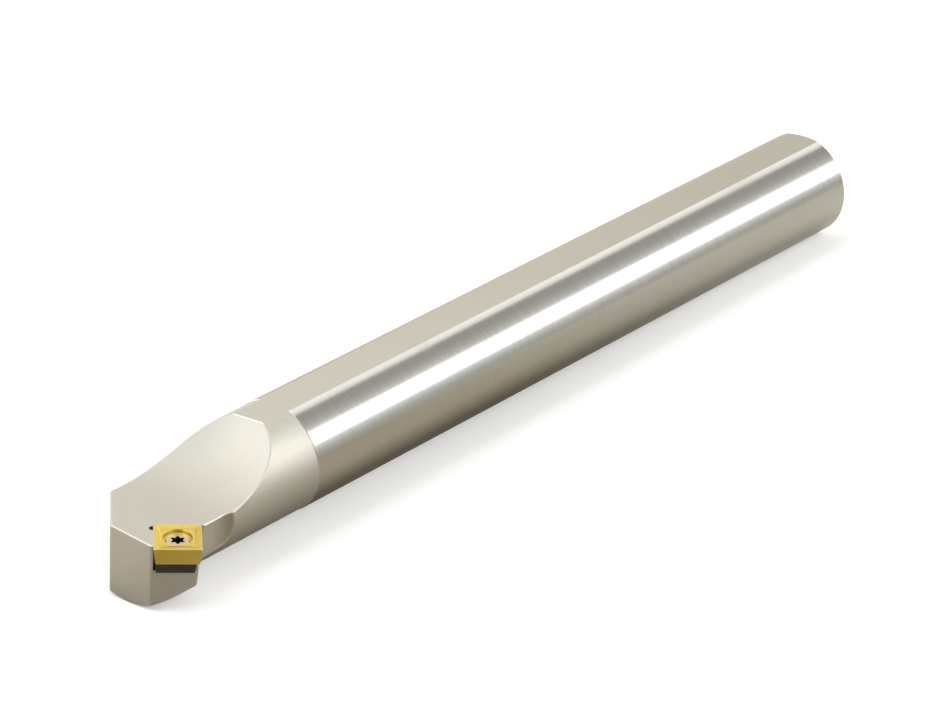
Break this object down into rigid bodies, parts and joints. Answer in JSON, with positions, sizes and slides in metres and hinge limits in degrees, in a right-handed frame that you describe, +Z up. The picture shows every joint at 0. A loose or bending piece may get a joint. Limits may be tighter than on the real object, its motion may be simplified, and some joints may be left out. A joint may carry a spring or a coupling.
{
  "type": "boring bar",
  "caption": "Round steel boring bar with two clamping flats, a scooped head and a square screwed insert on a shim at its cutting corner.",
  "frame": {"origin": "centre of the shank's rear face, on the shank's axis", "axes": "+X along the bar from the rear face to the head, +Y to the side that cuts, +Z up, square to the clamping flats; the cutting corner is at Z 0"},
  "size_m": [0.3, 0.038, 0.0339],
  "materials": {
    "bar_steel": "ground shank, satin nickel-toned neck and head",
    "dark_carbide": "dark ground carbide",
    "dark_screw_steel": "black oxide",
    "gold_coated_carbide": "gold-coloured hard coating, satin",
    "screw_steel": "bright plated steel"
  },
  "bodies": {
    "root": {"bar_body": "bar_steel", "shim": "dark_carbide", "shim_screw": "dark_screw_steel", "insert": "gold_coated_carbide", "insert_screw": "screw_steel"}
  },
  "joints": []
}
